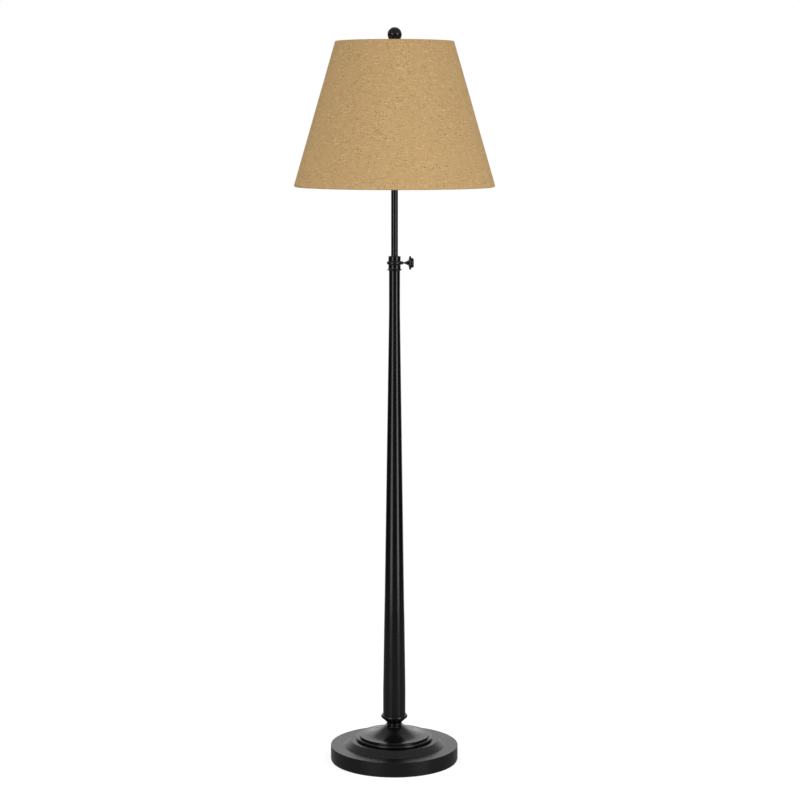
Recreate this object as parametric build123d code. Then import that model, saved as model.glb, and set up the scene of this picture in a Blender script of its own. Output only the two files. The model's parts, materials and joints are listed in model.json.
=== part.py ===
from build123d import *
import os

# Adjustable floor lamp in millimetres. +Z is up, the origin is the centre of the base on the floor,
# and +X points at the thumb screw of the height clamp. Everything stands on the piece below it, so
# a change of one height carries what is above it along.

# Base
base_diameter = 265.8
rim_height = 31.5
rim_edge_round = 1.0
rim_wall = 16.0
rim_flat_width = 26.6
tier_width = 13.3
tier_rise = 11.1
plateau_round = 1.0
web_thickness = 8.0
hub_diameter = 64.0
hub_drop = 18.0
rib_count = 6
rib_width = 6.0
pad_thickness = 2.5
pad_inset = 0.9

# Cord inlet at the back of the base
inlet_height = 12.0
inlet_bore = 8.0
inlet_wall = 2.0
inlet_flange_width = 2.0
inlet_flange_thickness = 2.0
inlet_cut_margin = 8.0

# Stepped dome on the base
dome_wall = 1.2
dome_ledge = 13.2
dome_bead_round = 2.7
dome_step_width = 7.0
dome_step_rise = 3.4
dome_step_round = 0.8
trumpet_rise = 19.0
trumpet_bend_diameter = 54.0
trumpet_bend_rise = 14.2
dome_lip_diameter = 40.0
dome_lip_round = 0.8

# Turned neck and cup under the column
neck_diameter = 30.8
neck_groove = 0.4
neck_groove_height = 1.6
neck_bead_bulge = 1.1
neck_bead_height = 3.2
neck_fillet_height = 0.2
neck_flare = 2.0
neck_flare_height = 3.2
scotia_height = 10.9
cup_wall = 1.6
cup_lip_bulge = 2.25
cup_lip_height = 6.8
cup_lip_edge = 0.6
cup_depth = 2.9

# Threaded pipe that ties the base, dome, neck and column together
tie_diameter = 10.2
tie_wall = 1.5
tie_washer_width = 11.0
tie_washer_thickness = 2.0
tie_nut_width = 17.0
tie_nut_height = 5.0
tie_pipe_end = 1.0

# Column
column_foot_diameter = 46.8
column_wall = 1.2
column_length = 930.0
column_foot_straight = 57.0
column_top_straight = 80.0
plug_height = 12.0

# Sliding rod and what guides it
rod_diameter = 14.0
rod_wall = 1.2
rod_reach = 177.8
rise_travel = 100.0
drop_travel = 155.0
stop_gap = 0.5
glide_wall = 1.94
glide_length = 20.0
clip_thickness = 1.2
clip_bite = 0.4
clip_stand = 1.3
rod_tail = 6.0
guide_wall = 1.0
guide_tail = 15.0

# Clamp collar
collar_height = 31.4
collar_wall = 3.56
collar_lip = 0.35
collar_lip_height = 2.8
flare_overhang = 2.9
flare_edge = 0.9
flare_height = 4.0
collar_bead_bulge = 3.3
collar_bead_height = 8.2
collar_edge_round = 0.6
clamp_height = 17.6
spigot_length = 23.0
bush_wall = 1.9
bush_floor = 3.0
bush_recess = 1.0

# Thumb screw
screw_diameter = 4.0
boss_reach = 1.4
boss_root_diameter = 8.6
boss_tip_diameter = 6.2
pad_length = 3.2
shank_gap = 4.2
knob_nose_diameter = 5.6
knob_trumpet_length = 7.8
knob_trumpet_diameter = 19.0
knob_diameter = 28.3
knob_rim_thickness = 5.0
knob_cap_diameter = 20.6
knob_cap_step = 0.5
knob_cap_height = 5.0
knob_cap_crown = 16.4
knob_grip = 9.0

# Threaded insert at the top of the rod
insert_spigot = 14.0
insert_flange_width = 2.5
insert_flange_thickness = 3.0
insert_stud_diameter = 10.0
insert_stud_length = 16.0
insert_bore = 6.4
nut_width = 14.0
nut_height = 3.2

# Harp saddle and harp
saddle_thickness = 1.6
saddle_width = 12.0
saddle_span = 59.6
saddle_bend = 9.0
saddle_arm = 11.0
saddle_shoulder_height = 3.0
saddle_pin_length = 8.0
harp_height = 241.0
harp_wire = 4.0
harp_leg = 34.0
harp_belly_width = 114.0
harp_belly_rise = 45.0
harp_shoulder_width = 104.0
harp_shoulder_drop = 50.0
harp_crown_width = 64.0
harp_crown_drop = 12.0
harp_bend = 28.0
harp_boss_diameter = 13.0
harp_boss_height = 4.4
sleeve_wall = 1.2
sleeve_length = 15.0
stud_diameter = 6.2
stud_length = 15.0
stud_seat_diameter = 16.0
stud_seat_thickness = 1.6
stud_rivet_diameter = 5.0
stud_head_diameter = 8.0
stud_head_thickness = 1.0

# Lamp socket
cap_neck_diameter = 15.0
cap_neck_height = 6.0
cap_diameter = 34.8
cap_wall = 0.8
cap_dome_height = 10.0
cap_rim_height = 6.0
shell_wall = 0.7
shell_height = 45.0
shell_bead = 0.8
shell_entry = 5.0
sleeve_paper = 0.6
core_height = 18.0
core_flat = 2.6
terminal_head_diameter = 6.0
terminal_head_thickness = 1.6
screw_shell_inset = 1.1
screw_shell_wall = 0.8
screw_shell_height = 23.0
contact_diameter = 9.0
contact_thickness = 0.8

# Turn switch at the front of the socket
switch_height = 9.0
switch_stem_diameter = 4.0
switch_stem_reach = 9.0
switch_knob_diameter = 11.0
switch_knob_tip_diameter = 9.0
switch_knob_length = 15.0
switch_knob_edge = 1.0

# Bulb
bulb_diameter = 67.0
bulb_glass_length = 108.0
bulb_glass_wall = 1.0
bulb_neck_diameter = 28.4
bulb_neck_length = 14.0
bulb_cap_length = 27.0
bulb_tip_diameter = 9.0
bulb_tip_height = 2.0
bulb_cone_height = 4.0

# Shade
shade_bottom_diameter = 406.4
shade_top_diameter = 240.0
shade_height = 291.0
shade_fabric_thickness = 0.9
shade_lining_thickness = 0.7
shade_wire = 3.2
shade_hem = 3.0
shade_lining_margin = 3.0
fitter_drop = 7.9
fitter_diameter = 30.0
fitter_thickness = 1.6
arm_count = 3
first_arm_angle = 90

# Finial
finial_ball_diameter = 29.1
finial_height = 35.7
finial_foot_diameter = 14.0
finial_neck_diameter = 10.4
finial_foot_height = 2.4
finial_neck_rise = 4.0
finial_end_wall = 2.0

# Clearances
fit_gap = 0.05
thread_gap = 0.03
slide_gap = 0.1
run_gap = 0.06
free_gap = 0.4
shoe_gap = 0.12
roll_gap = 0.3
notch_gap = 0.005
nest_gap = 0.5

# Radii of the nested tubes, from the rod outwards
base_radius = base_diameter / 2
rod_radius = rod_diameter / 2
glide_radius = rod_radius + run_gap + glide_wall
guide_inner = glide_radius + slide_gap
guide_radius = guide_inner + guide_wall
column_top_radius = guide_radius + fit_gap + column_wall
column_foot_radius = column_foot_diameter / 2
tie_radius = tie_diameter / 2
tie_hole = tie_radius + thread_gap

# Heights, from the floor up
hub_bottom = rim_height - hub_drop
plateau_top = rim_height + tier_rise + plateau_round
dome_bead_top = plateau_top + 2 * dome_bead_round
trumpet_foot = dome_bead_top + dome_step_rise + dome_step_round
dome_top = trumpet_foot + trumpet_rise + dome_lip_round
neck_bead_low = dome_top + neck_groove_height
neck_bead_high = neck_bead_low + neck_bead_height
scotia_low = neck_bead_high + neck_fillet_height
cup_radius = column_foot_radius + nest_gap + cup_wall
cup_low = scotia_low + scotia_height
cup_top = cup_low + cup_lip_height
column_low = cup_top - cup_depth
column_top = column_low + column_length
clamp_level = column_top + clamp_height
collar_top = column_top + collar_height
spigot_low = column_top - spigot_length
clip_top = spigot_low - rise_travel - stop_gap
glide_top = clip_top - clip_thickness - slide_gap
glide_low = glide_top - glide_length
clip_low = glide_low - slide_gap - clip_thickness
rod_low = clip_low - rod_tail
guide_low = rod_low - drop_travel - guide_tail
rod_top = collar_top + rod_reach
saddle_low = rod_top + insert_flange_thickness
saddle_top = saddle_low + saddle_thickness
socket_low = saddle_top + nut_height
shoulder_low = saddle_low + saddle_arm
shoulder_top = shoulder_low + saddle_shoulder_height
harp_foot = shoulder_top + saddle_pin_length
harp_seat = saddle_low + harp_height
boss_top = harp_seat - stud_seat_thickness
boss_low = boss_top - harp_boss_height
fitter_top = harp_seat + fitter_thickness
shade_top = fitter_top + fitter_drop
shade_low = shade_top - shade_height
cap_rim_low = socket_low + cap_neck_height + cap_dome_height
shell_low = cap_rim_low + cap_rim_height - shell_entry
shell_top = shell_low + shell_height
core_top = shell_low + core_height
switch_level = shell_low + switch_height
contact_top = core_top + contact_thickness
bulb_tip = contact_top + fit_gap
glass_low = bulb_tip + bulb_cap_length
ball_centre = fitter_top + finial_height - finial_ball_diameter / 2
stud_top = harp_seat + stud_length
finial_base_top = stud_top + free_gap + finial_end_wall

STANDING = (Align.CENTER, Align.CENTER, Align.MIN)
TOUCH = 1e-6


def curve(start, end, heading):
    """Arc from start to end that leaves start along heading."""
    return TangentArc(start, end, tangent=heading)


def curve_into(start, end, heading):
    """Arc from start to end that arrives at end along heading."""
    chord = (Vector(*end) - Vector(*start)).normalized()
    arrive = Vector(*heading)
    return TangentArc(start, end, tangent=chord * (2 * arrive.dot(chord)) - arrive)


def bead(radius, low, high, bulge):
    """Round moulding on a turned face of the given radius."""
    return ThreePointArc((radius, low), (radius + bulge, (low + high) / 2), (radius, high))


def flat_outline(*items):
    """Face inside a closed run of points and arcs, with straight lines between them."""
    edges = []
    first = None
    here = None
    for item in items:
        is_point = isinstance(item, tuple)
        start = Vector(*item) if is_point else item @ 0
        if here is None:
            first = start
        elif (start - here).length > TOUCH:
            edges.append(Line(here, start))
        if not is_point:
            edges.append(item)
        here = start if is_point else item @ 1
    if (first - here).length > TOUCH:
        edges.append(Line(here, first))
    return make_face(edges)


def turned(*items):
    """Solid of revolution about Z from a half outline in radius and height."""
    return revolve(Plane.XZ * flat_outline(*items), Axis.Z)


def tube(outer, inner, low, high):
    """Round tube about Z."""
    length = high - low
    wall = Cylinder(outer, length, align=STANDING) - Cylinder(inner, length, align=STANDING)
    return Pos(0, 0, low) * wall


def disc(radius, low, high):
    """Round bar about Z."""
    return Pos(0, 0, low) * Cylinder(radius, high - low, align=STANDING)


def rod_between(start, end, radius):
    """Round bar from one point to another."""
    run = Vector(*end) - Vector(*start)
    return Plane(origin=start, z_dir=run) * Cylinder(radius, run.length, align=STANDING)


def hexagon(width, bore, low, high):
    """Hexagon nut about Z, given across its flats."""
    body = extrude(RegularPolygon(width / 2, 6, major_radius=False), high - low)
    hole = Cylinder(bore, high - low, align=STANDING)
    return Pos(0, 0, low) * (body - hole)


# Base and column


def base_pad():
    outer = base_radius - pad_inset
    inner = base_radius - rim_wall
    return tube(outer, inner, 0, pad_thickness)


def base_disc():
    """Cast disc: flat rim, sloped tier up to a plateau, and a hollow underside with a hub and ribs."""
    tier_foot = base_radius - rim_flat_width
    plateau = tier_foot - tier_width
    rim_inner = base_radius - rim_wall
    hub = hub_diameter / 2
    web_low = rim_height - web_thickness
    crown_low = plateau_top - web_thickness
    body = turned(
        (base_radius, pad_thickness),
        curve((base_radius, rim_height - rim_edge_round), (base_radius - rim_edge_round, rim_height), (0, 1)),
        (tier_foot, rim_height),
        (plateau, rim_height + tier_rise),
        (plateau - plateau_round, plateau_top),
        (tie_hole, plateau_top),
        (tie_hole, hub_bottom),
        (hub, hub_bottom),
        (hub, crown_low),
        (plateau - web_thickness, crown_low),
        (tier_foot - web_thickness, web_low),
        (rim_inner, web_low),
        (rim_inner, pad_thickness),
    )
    rib_outline = flat_outline(
        (hub - rib_width / 2, hub_bottom),
        (rim_inner + rib_width / 2, hub_bottom),
        (rim_inner + rib_width / 2, web_low + web_thickness / 2),
        (tier_foot - web_thickness, web_low + web_thickness / 2),
        (plateau - web_thickness, crown_low + web_thickness / 2),
        (hub - rib_width / 2, crown_low + web_thickness / 2),
    )
    rib = extrude(Plane.XZ * rib_outline, rib_width / 2, both=True)
    body += [Rot(0, 0, 360 * i / rib_count) * rib for i in range(rib_count)]
    return body - inlet_hole()


def inlet_hole():
    """Round hole through the back of the rim for the inlet bushing."""
    radius = inlet_bore / 2 + inlet_wall + fit_gap
    length = rim_wall + 2 * inlet_cut_margin
    place = Pos(0, base_radius - rim_wall - inlet_cut_margin, inlet_height)
    return place * Rot(-90, 0, 0) * Cylinder(radius, length, align=STANDING)


def cord_bushing():
    """Flanged bushing that lines the inlet."""
    radius = inlet_bore / 2 + inlet_wall
    sleeve = Cylinder(radius, rim_wall, align=STANDING)
    flange = Cylinder(radius + inlet_flange_width, inlet_flange_thickness, align=STANDING)
    flange = fillet(flange.edges().group_by(Axis.Z)[-1], inlet_flange_thickness / 2)
    bore = Cylinder(inlet_bore / 2, rim_wall + inlet_flange_thickness, align=STANDING)
    body = sleeve + Pos(0, 0, rim_wall) * flange - bore
    return Pos(0, base_radius - rim_wall, inlet_height) * Rot(-90, 0, 0) * body


def base_dome():
    """Spun cover: a bead on the plateau, a small step, then a trumpet that rises to the neck."""
    bead_edge = base_radius - rim_flat_width - tier_width - dome_ledge
    bead_centre = bead_edge - dome_bead_round
    step = bead_edge - dome_step_width
    foot = (step - dome_step_round, trumpet_foot)
    bend = (trumpet_bend_diameter / 2, trumpet_foot + trumpet_bend_rise)
    lip = (dome_lip_diameter / 2, dome_top - dome_lip_round)
    inner_foot = (foot[0], foot[1] - dome_wall)
    inner_bend = (bend[0], bend[1] - dome_wall)
    inner_lip = (lip[0], lip[1] - dome_wall)
    rise = curve(foot, bend, (-1, 0))
    lift = rise % 1
    return turned(
        bead(bead_centre, plateau_top, dome_bead_top, dome_bead_round),
        (step, dome_bead_top),
        curve((step, trumpet_foot - dome_step_round), foot, (0, 1)),
        rise,
        curve(bend, lip, lift),
        curve(lip, (lip[0] - dome_lip_round, dome_top), (0, 1)),
        (tie_hole, dome_top),
        (tie_hole, inner_lip[1]),
        curve_into(inner_lip, inner_bend, -lift),
        curve_into(inner_bend, inner_foot, (1, 0)),
        (step - dome_wall, trumpet_foot - dome_wall),
        (step - dome_wall, plateau_top),
    )


def neck_cup():
    """Turned neck: groove, bead and flare under a rolled cup that holds the column's foot."""
    neck = neck_diameter / 2
    groove = neck - neck_groove
    seat = column_foot_radius + nest_gap
    lip_middle = (cup_radius + cup_lip_bulge, (cup_low + cup_top) / 2)
    return turned(
        (groove, dome_top),
        bead(groove, neck_bead_low, neck_bead_high, neck_groove + neck_bead_bulge),
        (neck, scotia_low),
        curve((neck, scotia_low), (neck + neck_flare, scotia_low + neck_flare_height), (0, 1)),
        ThreePointArc((cup_radius, cup_low), lip_middle, (seat + cup_lip_edge, cup_top)),
        (seat, cup_top),
        (seat, column_low),
        (tie_hole, column_low),
        (tie_hole, dome_top),
    )


def tie_pipe():
    low = hub_bottom - tie_washer_thickness - tie_nut_height - tie_pipe_end
    return tube(tie_radius, tie_radius - tie_wall, low, column_low + plug_height)


def base_washer():
    return tube(tie_radius + tie_washer_width, tie_hole, hub_bottom - tie_washer_thickness, hub_bottom)


def base_nut():
    top = hub_bottom - tie_washer_thickness
    return hexagon(tie_nut_width, tie_hole, top - tie_nut_height, top)


def column():
    """Tube that is straight at both ends and tapers between them."""
    straight_low = column_low + column_foot_straight
    straight_high = column_top - column_top_straight
    outer = [
        (column_foot_radius, column_low),
        (column_foot_radius, straight_low),
        (column_top_radius, straight_high),
        (column_top_radius, column_top),
    ]
    inner = [(radius - column_wall, height) for radius, height in reversed(outer)]
    return turned(*outer, *inner)


def column_plug():
    radius = column_foot_radius - column_wall - fit_gap
    return tube(radius, tie_hole, column_low, column_low + plug_height)


def guide_tube():
    return tube(guide_radius, guide_inner, guide_low, column_top)


# Clamp collar and thumb screw

bush_radius = rod_radius + run_gap + bush_wall
barrel_radius = bush_radius + fit_gap + collar_wall
boss_end = barrel_radius + collar_bead_bulge + boss_reach
shoe_tail = rod_radius + shoe_gap + pad_length
knob_nose = boss_end + shank_gap


def along_x(distance, shape):
    """Lay a piece that was made about Z along +X, at the height of the thumb screw."""
    return Pos(distance, 0, clamp_level) * Rot(0, 90, 0) * shape


def screw_hole(radius):
    return along_x(0, Cylinder(radius, boss_end + free_gap, align=STANDING))


def collar():
    """Turned collar: spigot, lip, flared skirt, barrel and bead, with a boss for the thumb screw."""
    spigot = guide_inner - fit_gap
    bore = rod_radius + free_gap
    socket = bush_radius + fit_gap
    lip = column_top_radius
    lip_top = column_top + collar_lip_height
    flare = barrel_radius + flare_overhang
    flare_low = lip_top + flare_edge
    body = turned(
        (bore, spigot_low),
        (spigot, spigot_low),
        (spigot, column_top),
        bead(lip, column_top, lip_top, collar_lip),
        (flare, lip_top),
        (flare, flare_low),
        curve_into((flare, flare_low), (barrel_radius, flare_low + flare_height), (0, 1)),
        bead(barrel_radius, clamp_level - collar_bead_height / 2, clamp_level + collar_bead_height / 2,
             collar_bead_bulge),
        curve((barrel_radius, collar_top - collar_edge_round),
              (barrel_radius - collar_edge_round, collar_top), (0, 1)),
        (socket, collar_top),
        (socket, column_top + bush_floor),
        (bore, column_top + bush_floor),
    )
    boss_root = (barrel_radius + socket) / 2
    boss = Cone(boss_root_diameter / 2, boss_tip_diameter / 2, boss_end - boss_root, align=STANDING)
    body += along_x(boss_root, boss)
    return body - screw_hole(screw_diameter / 2 + thread_gap)


def collar_bush():
    """Plain nylon bush with a side hole for the clamp shoe."""
    inner = rod_radius + run_gap
    body = tube(bush_radius, inner, column_top + bush_floor, collar_top - bush_recess)
    return body - screw_hole(screw_diameter / 2 + slide_gap)


def clamp_pad():
    """Brass shoe, hollowed to the rod."""
    shoe = along_x(0, Cylinder(screw_diameter / 2 - run_gap, shoe_tail, align=STANDING))
    reach = screw_diameter
    return shoe - disc(rod_radius + shoe_gap, clamp_level - reach, clamp_level + reach)


def clamp_screw():
    length = knob_nose + knob_grip - shoe_tail
    return along_x(shoe_tail, Cylinder(screw_diameter / 2, length, align=STANDING))


def clamp_knob():
    """Trumpet shaped head with a rounded rim and a low domed cap."""
    bore = screw_diameter / 2 + thread_gap
    nose = knob_nose_diameter / 2
    trumpet = (knob_trumpet_diameter / 2, knob_trumpet_length)
    rim_low = knob_trumpet_length
    rim_high = rim_low + knob_rim_thickness
    rim = knob_diameter / 2 - knob_rim_thickness / 2
    cap = knob_cap_diameter / 2
    cap_low = rim_high + knob_cap_step
    cap_high = rim_high + knob_cap_height
    crown = knob_cap_crown / 2
    body = turned(
        (bore, 0.0),
        curve((nose, 0.0), trumpet, (0, 1)),
        bead(rim, rim_low, rim_high, knob_rim_thickness / 2),
        (cap, rim_high),
        curve((cap, cap_low), (crown, cap_high), (0, 1)),
        (0.0, cap_high),
        (0.0, knob_grip),
        (bore, knob_grip),
    )
    return along_x(knob_nose, body)


# Sliding rod


def glide():
    return tube(glide_radius, rod_radius + run_gap, glide_low, glide_top)


def rod():
    """Tube with two grooves for the clips that hold the glide."""
    body = tube(rod_radius, rod_radius - rod_wall, rod_low, rod_top)
    floor = rod_radius - clip_bite
    for low in (clip_low, glide_top + slide_gap):
        body -= tube(rod_radius + free_gap, floor, low - fit_gap / 2, low + clip_thickness + fit_gap / 2)
    return body


def rod_clips():
    """Two retaining rings, one on each side of the glide."""
    inner = rod_radius - clip_bite + thread_gap
    outer = rod_radius + clip_stand
    lows = (clip_low, glide_top + slide_gap)
    return Compound([tube(outer, inner, low, low + clip_thickness).solid() for low in lows])


def rod_insert():
    """Threaded insert: spigot in the rod, flange on its end and a hollow stud above."""
    spigot = rod_radius - rod_wall - fit_gap
    flange = rod_radius + insert_flange_width
    stud = insert_stud_diameter / 2
    bore = insert_bore / 2
    return turned(
        (bore, rod_top - insert_spigot),
        (spigot, rod_top - insert_spigot),
        (spigot, rod_top),
        (flange, rod_top),
        (flange, saddle_low),
        (stud, saddle_low),
        (stud, saddle_low + insert_stud_length),
        (bore, saddle_low + insert_stud_length),
    )


def lock_nut():
    return hexagon(nut_width, insert_stud_diameter / 2 + thread_gap, saddle_top, socket_low)


# Harp

leg_x = saddle_span / 2
wire_radius = harp_wire / 2
sleeve_inner = wire_radius + slide_gap
sleeve_radius = sleeve_inner + sleeve_wall


def harp_saddle():
    """Bent strap with a shoulder and a pin at the top of each arm."""
    outer = leg_x + saddle_thickness / 2
    inner = leg_x - saddle_thickness / 2
    bend_in = saddle_bend - saddle_thickness
    strap = flat_outline(
        (-outer, shoulder_low),
        curve((-outer, saddle_low + saddle_bend), (saddle_bend - outer, saddle_low), (0, -1)),
        curve((outer - saddle_bend, saddle_low), (outer, saddle_low + saddle_bend), (1, 0)),
        (outer, shoulder_low),
        (inner, shoulder_low),
        curve((inner, saddle_low + saddle_bend), (inner - bend_in, saddle_top), (0, -1)),
        curve((bend_in - inner, saddle_top), (-inner, saddle_low + saddle_bend), (-1, 0)),
        (-inner, shoulder_low),
    )
    body = extrude(Plane.XZ * strap, saddle_width / 2, both=True)
    shoulder = Cylinder(sleeve_radius, saddle_shoulder_height, align=STANDING)
    pin = Cylinder(wire_radius, saddle_shoulder_height + saddle_pin_length, align=STANDING)
    for side in (-1, 1):
        body += Pos(side * leg_x, 0, shoulder_low) * (shoulder + pin)
    hole = Cylinder(insert_stud_diameter / 2 + slide_gap, saddle_thickness, align=STANDING)
    return body - Pos(0, 0, saddle_low) * hole


def harp():
    """Bent wire loop, flattened into a drilled boss at the crown."""
    belly = harp_foot + harp_leg + harp_belly_rise
    shoulder = boss_top - harp_shoulder_drop
    crown = boss_top - harp_crown_drop
    wire_top = boss_top - wire_radius - (harp_boss_height - harp_wire) / 2
    right = [
        (leg_x, harp_foot),
        (leg_x, harp_foot + harp_leg),
        (harp_belly_width / 2, belly),
        (harp_shoulder_width / 2, shoulder),
        (harp_crown_width / 2, crown),
        (harp_boss_diameter, wire_top),
    ]
    left = [(-x, z) for x, z in right]
    points = [(x, 0, z) for x, z in left + list(reversed(right))]
    path = FilletPolyline(*points, radius=harp_bend)
    section = Plane(origin=path @ 0, z_dir=path % 0) * Circle(wire_radius)
    boss = disc(harp_boss_diameter / 2, boss_low, boss_top)
    hole = disc(stud_rivet_diameter / 2 + fit_gap, boss_low, boss_top)
    return sweep(section, path=path) + boss - hole


def harp_stud():
    """Threaded stud riveted through the harp, with a round seat for the shade."""
    rivet = stud_rivet_diameter / 2
    head = stud_head_diameter / 2
    seat = stud_seat_diameter / 2
    stud = stud_diameter / 2
    return turned(
        (0.0, boss_low - stud_head_thickness),
        (head, boss_low - stud_head_thickness),
        (head, boss_low),
        (rivet, boss_low),
        (rivet, boss_top),
        (seat, boss_top),
        (seat, harp_seat),
        (stud, harp_seat),
        (stud, stud_top),
        (0.0, stud_top),
    )


def harp_sleeve(side):
    """Loose sleeve that drops over the joint of a harp leg and its saddle pin."""
    body = tube(sleeve_radius, sleeve_inner, shoulder_top, shoulder_top + sleeve_length)
    return Pos(side * leg_x, 0, 0) * body


# Socket and bulb

cap_radius = cap_diameter / 2
shell_radius = cap_radius - cap_wall - fit_gap
paper_radius = shell_radius - shell_wall - fit_gap
core_radius = paper_radius - sleeve_paper - fit_gap
screw_shell_radius = core_radius - screw_shell_inset
bulb_cap_radius = screw_shell_radius - screw_shell_wall - slide_gap


def switch_hole(gap):
    """Round hole towards the front for the switch stem."""
    radius = switch_stem_diameter / 2 + gap
    drill = Cylinder(radius, cap_radius + free_gap, align=STANDING)
    return Pos(0, 0, switch_level) * Rot(90, 0, 0) * drill


def socket_cap():
    """Cup under the socket: threaded neck, dome and rim."""
    neck = cap_neck_diameter / 2
    bore = insert_stud_diameter / 2 + thread_gap
    neck_top = socket_low + cap_neck_height
    rim_top = cap_rim_low + cap_rim_height
    inner = cap_radius - cap_wall
    body = turned(
        (bore, socket_low),
        (neck, socket_low),
        (neck, neck_top),
        curve_into((neck, neck_top), (cap_radius, cap_rim_low), (0, 1)),
        (cap_radius, rim_top),
        (inner, rim_top),
        curve((inner, cap_rim_low), (neck, neck_top + cap_wall), (0, -1)),
        (bore, neck_top + cap_wall),
    )
    return body - switch_hole(free_gap)


def socket_shell():
    """Thin shell with a rolled bead at its mouth."""
    inner = shell_radius - shell_wall
    bead_low = shell_top - 2 * shell_bead
    body = turned(
        (inner, shell_low),
        (shell_radius, shell_low),
        bead(shell_radius, bead_low, shell_top, shell_bead),
        (inner, shell_top),
    )
    return body - switch_hole(free_gap)


def insulating_sleeve():
    body = tube(paper_radius, paper_radius - sleeve_paper, shell_low, shell_top - 2 * shell_bead)
    return body - switch_hole(free_gap)


def socket_core():
    """Moulded switch block with a flat on each side for a terminal screw."""
    body = Pos(0, 0, shell_low) * Cylinder(core_radius, core_height, align=STANDING)
    flat_x = core_radius - core_flat
    notch_height = core_height / 2
    for side in (-1, 1):
        notch = Box(core_flat, 2 * core_radius, notch_height, align=STANDING)
        body -= Pos(side * (flat_x + core_flat / 2), 0, shell_low + notch_height / 2) * notch
    return body - switch_hole(run_gap)


def terminal_screws():
    """Two binding screws on the flats of the switch block."""
    head = Cylinder(terminal_head_diameter / 2, terminal_head_thickness, align=STANDING)
    slot = Box(terminal_head_diameter, terminal_head_thickness / 2, terminal_head_thickness)
    head -= Pos(0, 0, terminal_head_thickness) * slot
    place = Pos(core_radius - core_flat, 0, shell_low + core_height / 2) * Rot(0, 90, 0)
    screw = place * head
    return Compound([(Rot(0, 0, turn) * screw).solid() for turn in (0, 180)])


def screw_shell():
    return tube(screw_shell_radius, screw_shell_radius - screw_shell_wall, core_top,
                core_top + screw_shell_height)


def centre_contact():
    return Pos(0, 0, core_top) * Cylinder(contact_diameter / 2, contact_thickness, align=STANDING)


def switch_stem():
    length = cap_radius + switch_stem_reach
    body = Cylinder(switch_stem_diameter / 2, length, align=STANDING)
    return Pos(0, 0, switch_level) * Rot(90, 0, 0) * body


def switch_knob():
    """Moulded turn knob, tapered to its tip and pressed on the stem."""
    root = switch_knob_diameter / 2
    tip = switch_knob_tip_diameter / 2
    edge = switch_knob_edge
    bore = switch_stem_diameter / 2 + thread_gap
    grip = switch_stem_reach - free_gap
    body = turned(
        (bore, 0.0),
        (root, 0.0),
        curve((tip, switch_knob_length - edge), (tip - edge, switch_knob_length), (0, 1)),
        (0.0, switch_knob_length),
        (0.0, grip),
        (bore, grip),
    )
    return Pos(0, -cap_radius - free_gap, switch_level) * Rot(90, 0, 0) * body


def bulb_cap():
    """Metal cap of the bulb: contact tip, insulating cone and threaded sleeve."""
    tip = bulb_tip_diameter / 2
    cone_low = bulb_tip + bulb_tip_height
    return turned(
        (0.0, bulb_tip),
        (tip, bulb_tip),
        (tip, cone_low),
        (bulb_cap_radius, cone_low + bulb_cone_height),
        (bulb_cap_radius, glass_low),
        (0.0, glass_low),
    )


def bulb_outline(inset):
    """Bulb form shrunk by inset: a straight neck that swells into a ball through one tangent arc."""
    neck = bulb_neck_diameter / 2 - inset
    ball = bulb_diameter / 2 - inset
    neck_top = glass_low + bulb_neck_length
    centre = glass_low + bulb_glass_length - bulb_diameter / 2
    climb = centre - neck_top
    flare = (neck**2 + climb**2 - ball**2) / (2 * (ball - neck))
    aim = Vector(neck + flare, -climb).normalized()
    join = (ball * aim.X, centre + ball * aim.Y)
    return turned(
        (0.0, glass_low),
        (neck, glass_low),
        curve((neck, neck_top), join, (0, 1)),
        curve(join, (0.0, centre + ball), (-aim.Y, aim.X)),
    )


def bulb_glass():
    return bulb_outline(0.0) - bulb_outline(bulb_glass_wall)


# Shade and finial

shade_roll = shade_wire / 2 + roll_gap + shade_fabric_thickness
ring_low = Vector(shade_bottom_diameter / 2 - shade_roll, shade_low + shade_roll)
ring_high = Vector(shade_top_diameter / 2 - shade_roll, shade_top - shade_roll)
shade_up = (ring_high - ring_low).normalized()
shade_out = Vector(shade_up.Y, -shade_up.X)


def beside(ring, out, up):
    """Point of the shade's section, measured from a ring across and along the wall."""
    place = ring + shade_out * out + shade_up * up
    return (place.X, place.Y)


def hem(ring, radius, way):
    """Half round of the fabric about a ring, away from the wall, from outside to inside."""
    return ThreePointArc(beside(ring, radius, 0), beside(ring, 0, way * radius), beside(ring, -radius, 0))


def hem_back(ring, radius, way):
    """The same half round, from inside to outside."""
    return ThreePointArc(beside(ring, -radius, 0), beside(ring, 0, way * radius), beside(ring, radius, 0))


def frame_arms(radius):
    """Straight arms from the washer to the top ring."""
    start = (fitter_diameter / 2 - shade_wire, 0, (harp_seat + fitter_top) / 2)
    end = (ring_high.X, 0, ring_high.Y)
    arm = rod_between(start, end, radius)
    return [Rot(0, 0, first_arm_angle + 360 * i / arm_count) * arm for i in range(arm_count)]


def shade_frame():
    """Top ring, arms and washer, welded into one frame."""
    ring = Pos(0, 0, ring_high.Y) * Torus(ring_high.X, shade_wire / 2)
    body = ring + frame_arms(shade_wire / 2)
    body += disc(fitter_diameter / 2, harp_seat, fitter_top)
    return body - disc(stud_diameter / 2 + slide_gap, harp_seat - shade_wire, fitter_top + shade_wire)


def shade_bottom_ring():
    return Pos(0, 0, ring_low.Y) * Torus(ring_low.X, shade_wire / 2)


def shade_lining():
    """Stiff lining glued behind the fabric, from ring to ring."""
    outer = shade_roll - shade_fabric_thickness - fit_gap
    inner = outer - shade_lining_thickness
    return turned(
        beside(ring_low, outer, shade_lining_margin),
        beside(ring_high, outer, -shade_lining_margin),
        beside(ring_high, inner, -shade_lining_margin),
        beside(ring_low, inner, shade_lining_margin),
    )


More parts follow.
